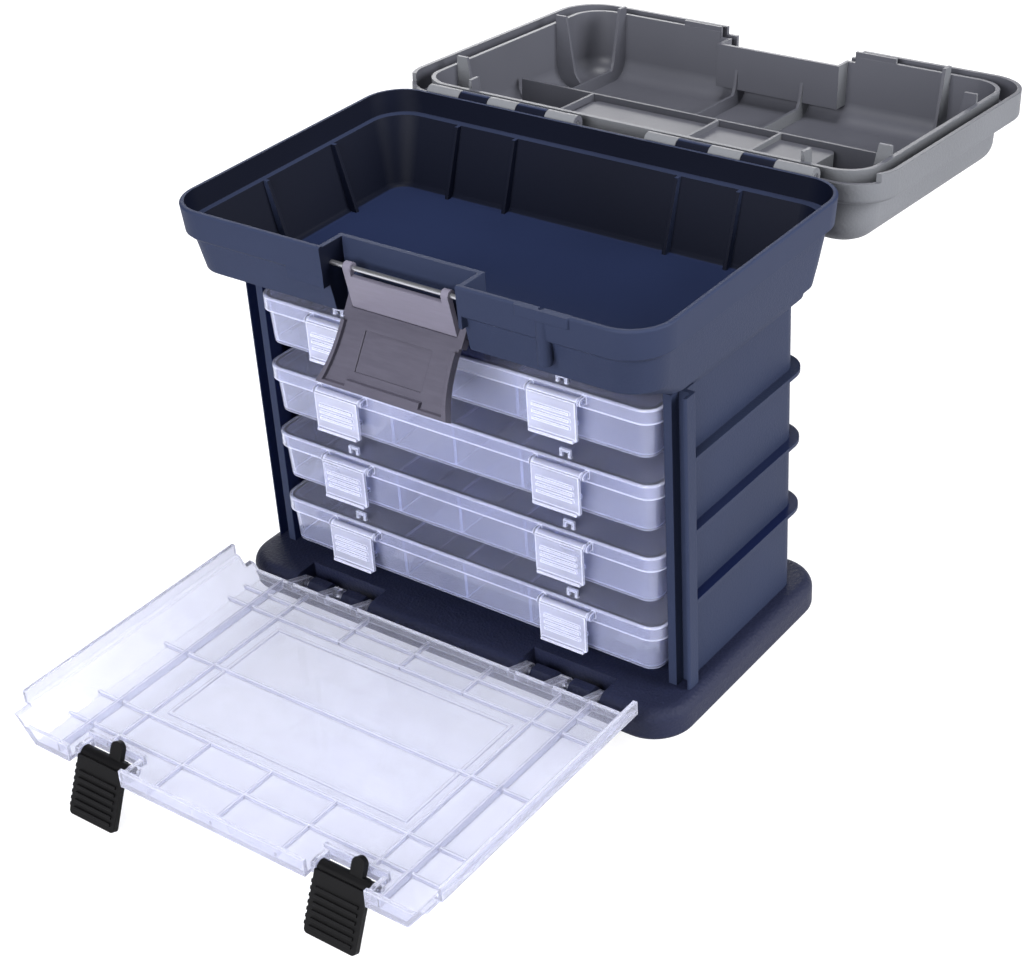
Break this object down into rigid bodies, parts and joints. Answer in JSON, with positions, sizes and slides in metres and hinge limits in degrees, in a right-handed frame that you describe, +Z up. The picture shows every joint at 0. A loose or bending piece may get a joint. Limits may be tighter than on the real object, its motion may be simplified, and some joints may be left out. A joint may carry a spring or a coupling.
{
  "type": "tackle box",
  "caption": "tackle box with clear lift-out trays in a rack behind a drop-down clear cover, an open bin above them and a hinged lid with a draw latch",
  "frame": {"origin": "on the ground under the middle of the base", "axes": "+Z up, -Y the front with the cover and latch, +X to the right seen from the front"},
  "size_m": [0.283, 0.5168, 0.2357],
  "materials": {
    "navy": "fine moulded texture outside, satin inside",
    "lid_grey": "fine moulded texture outside, satin inside",
    "latch_grey": "satin",
    "black": "satin",
    "clear": "clear, slightly milky",
    "steel": "drawn rod"
  },
  "bodies": {
    "case": {"base_plinth": "navy", "base_screws": "steel", "base_plate": "navy", "cover_hinge_pin_left": "steel", "cover_hinge_pin_right": "steel", "side_wall_left": "navy", "side_wall_right": "navy", "back_wall": "navy", "tray_runners_left": "navy", "tray_runners_right": "navy", "top_bin": "navy", "lid_hinge_pin_left": "steel", "lid_hinge_pin_right": "steel", "latch_link_pin": "steel"},
    "lid": {"lid": "lid_grey", "handle_pins": "steel"},
    "handle": {"carry_handle": "black"},
    "latch_link": {"latch_link": "latch_grey"},
    "latch_flap": {"latch_flap": "latch_grey", "latch_flap_pin": "steel"},
    "cover": {"front_cover": "clear", "cover_latch_pin_left": "steel", "cover_latch_pin_right": "steel"},
    "cover_latch_left": {"cover_latch_left": "black"},
    "cover_latch_right": {"cover_latch_right": "black"},
    "tray_1": {"tray_1_body": "clear", "tray_1_lid": "clear", "tray_1_hinge_pins": "steel", "tray_1_dividers": "clear"},
    "tray_1_latch_left": {"tray_1_latch_left": "clear"},
    "tray_1_latch_right": {"tray_1_latch_right": "clear"},
    "tray_2": {"tray_2_body": "clear", "tray_2_lid": "clear", "tray_2_hinge_pins": "steel", "tray_2_dividers": "clear"},
    "tray_2_latch_left": {"tray_2_latch_left": "clear"},
    "tray_2_latch_right": {"tray_2_latch_right": "clear"},
    "tray_3": {"tray_3_body": "clear", "tray_3_lid": "clear", "tray_3_hinge_pins": "steel", "tray_3_dividers": "clear"},
    "tray_3_latch_left": {"tray_3_latch_left": "clear"},
    "tray_3_latch_right": {"tray_3_latch_right": "clear"},
    "tray_4": {"tray_4_body": "clear", "tray_4_lid": "clear", "tray_4_hinge_pins": "steel", "tray_4_dividers": "clear"},
    "tray_4_latch_left": {"tray_4_latch_left": "clear"},
    "tray_4_latch_right": {"tray_4_latch_right": "clear"}
  },
  "joints": [
    {"name": "lid_hinge", "type": "hinge", "parent": "case", "child": "lid", "pos_m": [0, 0.09, 0.2315], "axis": [-1, 0, 0], "range_deg": [-184, 0]},
    {"name": "handle_hinge", "type": "hinge", "parent": "lid", "child": "handle", "pos_m": [0, 0.17601, 0.19281], "axis": [1, 0, 0], "range_deg": [0, 90]},
    {"name": "latch_link_hinge", "type": "hinge", "parent": "case", "child": "latch_link", "pos_m": [0, -0.0795, 0.224], "axis": [1, 0, 0], "range_deg": [-196, 0]},
    {"name": "latch_flap_hinge", "type": "hinge", "parent": "latch_link", "child": "latch_flap", "pos_m": [0, -0.07503, 0.20297], "axis": [1, 0, 0], "range_deg": [0, 216]},
    {"name": "cover_hinge", "type": "hinge", "parent": "case", "child": "cover", "pos_m": [0, -0.068, 0.0235], "axis": [1, 0, 0], "range_deg": [-90, 0]},
    {"name": "cover_latch_left_hinge", "type": "hinge", "parent": "cover", "child": "cover_latch_left", "pos_m": [-0.0716, -0.2295, 0.0267], "axis": [-1, 0, 0], "range_deg": [-113.7, 0]},
    {"name": "cover_latch_right_hinge", "type": "hinge", "parent": "cover", "child": "cover_latch_right", "pos_m": [0.0716, -0.2295, 0.0267], "axis": [-1, 0, 0], "range_deg": [-113.7, 0]},
    {"name": "tray_1_slide", "type": "slide", "parent": "case", "child": "tray_1", "axis": [0, -1, 0], "range_m": [0, 0.03]},
    {"name": "tray_1_latch_left_hinge", "type": "hinge", "parent": "tray_1", "child": "tray_1_latch_left", "pos_m": [-0.0647, -0.0566, 0.1741], "axis": [-1, 0, 0], "range_deg": [0, 100]},
    {"name": "tray_1_latch_right_hinge", "type": "hinge", "parent": "tray_1", "child": "tray_1_latch_right", "pos_m": [0.0647, -0.0566, 0.1741], "axis": [-1, 0, 0], "range_deg": [0, 100]},
    {"name": "tray_2_slide", "type": "slide", "parent": "case", "child": "tray_2", "axis": [0, -1, 0], "range_m": [0, 0.09]},
    {"name": "tray_2_latch_left_hinge", "type": "hinge", "parent": "tray_2", "child": "tray_2_latch_left", "pos_m": [-0.0647, -0.0566, 0.1356], "axis": [-1, 0, 0], "range_deg": [0, 100]},
    {"name": "tray_2_latch_right_hinge", "type": "hinge", "parent": "tray_2", "child": "tray_2_latch_right", "pos_m": [0.0647, -0.0566, 0.1356], "axis": [-1, 0, 0], "range_deg": [0, 100]},
    {"name": "tray_3_slide", "type": "slide", "parent": "case", "child": "tray_3", "axis": [0, -1, 0], "range_m": [0, 0.09]},
    {"name": "tray_3_latch_left_hinge", "type": "hinge", "parent": "tray_3", "child": "tray_3_latch_left", "pos_m": [-0.0647, -0.0566, 0.0971], "axis": [-1, 0, 0], "range_deg": [0, 100]},
    {"name": "tray_3_latch_right_hinge", "type": "hinge", "parent": "tray_3", "child": "tray_3_latch_right", "pos_m": [0.0647, -0.0566, 0.0971], "axis": [-1, 0, 0], "range_deg": [0, 100]},
    {"name": "tray_4_slide", "type": "slide", "parent": "case", "child": "tray_4", "axis": [0, -1, 0], "range_m": [0, 0.09]},
    {"name": "tray_4_latch_left_hinge", "type": "hinge", "parent": "tray_4", "child": "tray_4_latch_left", "pos_m": [-0.0647, -0.0566, 0.0586], "axis": [-1, 0, 0], "range_deg": [0, 100]},
    {"name": "tray_4_latch_right_hinge", "type": "hinge", "parent": "tray_4", "child": "tray_4_latch_right", "pos_m": [0.0647, -0.0566, 0.0586], "axis": [-1, 0, 0], "range_deg": [0, 100]}
  ],
  "couplings": [
    {"joint": "latch_flap_hinge", "follows": "latch_link_hinge", "ratio": -1.102}
  ]
}
